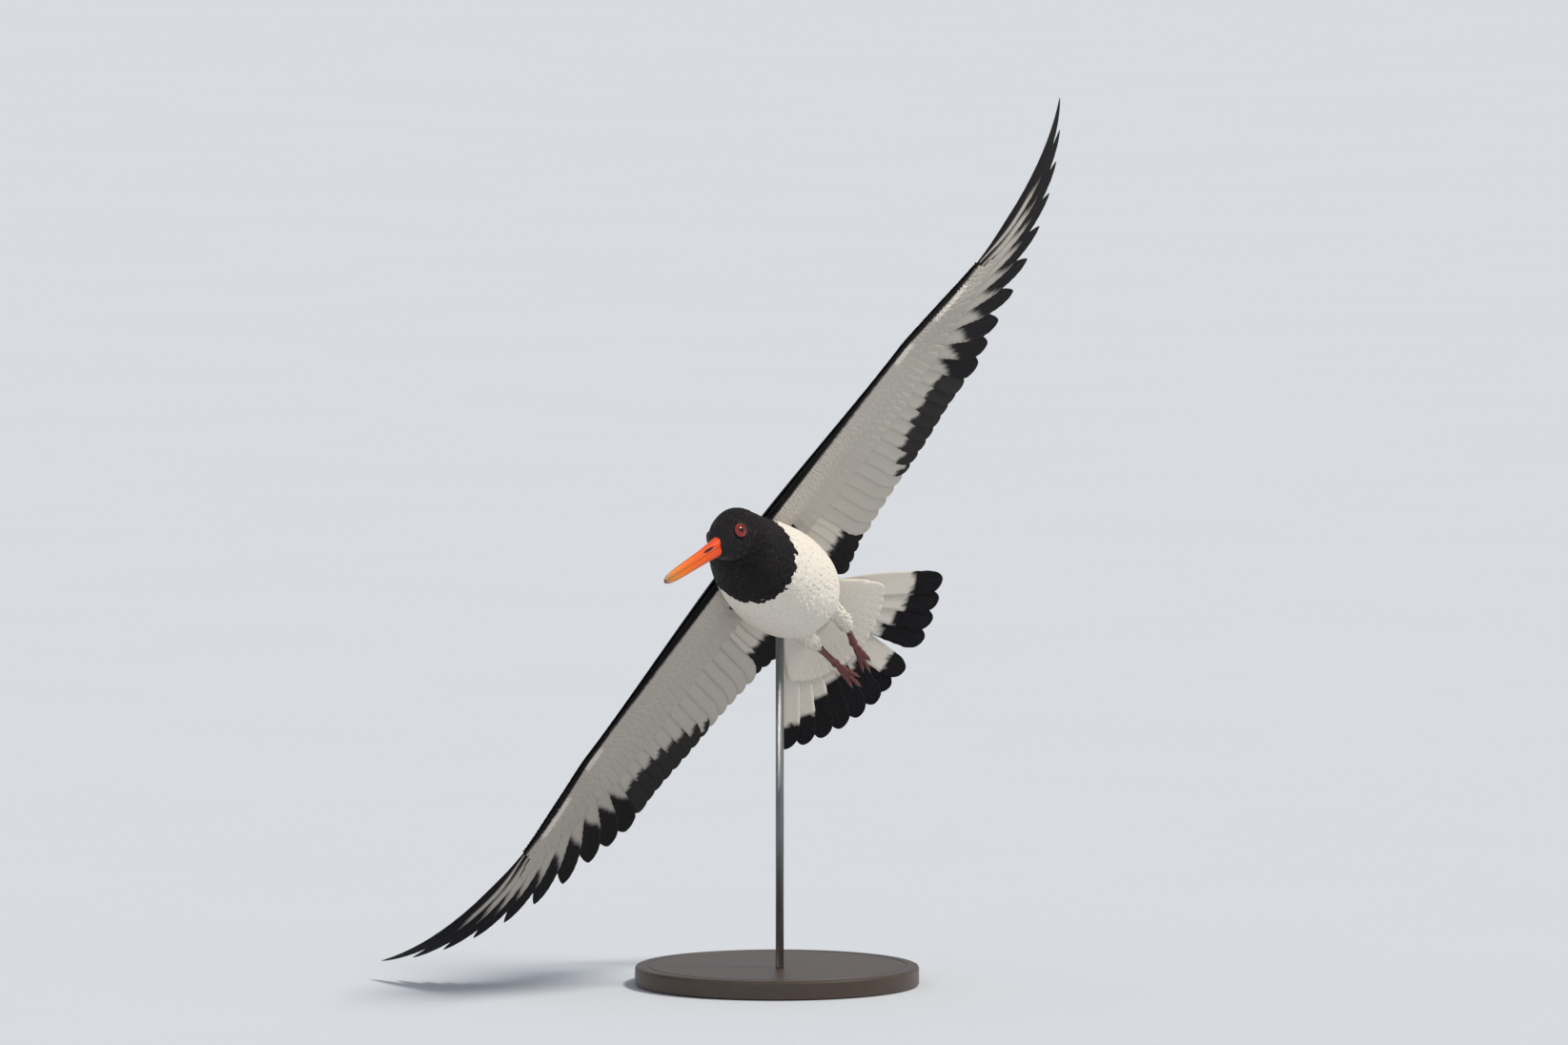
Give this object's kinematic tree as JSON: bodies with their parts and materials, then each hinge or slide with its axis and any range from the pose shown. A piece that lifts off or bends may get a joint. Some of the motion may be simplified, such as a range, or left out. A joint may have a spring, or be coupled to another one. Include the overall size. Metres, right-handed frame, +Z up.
{
  "type": "oystercatcher",
  "caption": "Life-size wading bird in banked flight, wings and tail spread, black hood and white belly, long orange bill, held over a round base by a rod; a still display model",
  "frame": {"origin": "centre of the underside of the stand's base, on the floor", "axes": "+Z up; +Y away from the viewer, who sees the belly; +X to the viewer's right, towards the raised left wing"},
  "size_m": [0.5033, 0.3347, 0.6505],
  "materials": {
    "white_plumage": "soft feathers, white",
    "black_plumage": "soft feathers, black",
    "eye_glass": "polished, dark red",
    "eyelid_skin": "bare skin, orange red",
    "bill_horn": "smooth horn, orange",
    "leg_skin": "scaled skin, dull pink",
    "stand_wood": "dark stain, satin",
    "stand_steel": "brushed"
  },
  "bodies": {
    "root": {"torso": "white_plumage", "neck": "black_plumage", "head": "black_plumage", "eye_left": "eye_glass", "eye_right": "eye_glass", "eyelid_left": "eyelid_skin", "eyelid_right": "eyelid_skin", "bill_upper": "bill_horn", "bill_lower": "bill_horn", "wing_left": "white_plumage", "wing_right": "white_plumage", "tail": "white_plumage", "leg_left": "leg_skin", "leg_right": "leg_skin", "stand_base": "stand_wood", "stand_rod": "stand_steel"}
  },
  "joints": []
}
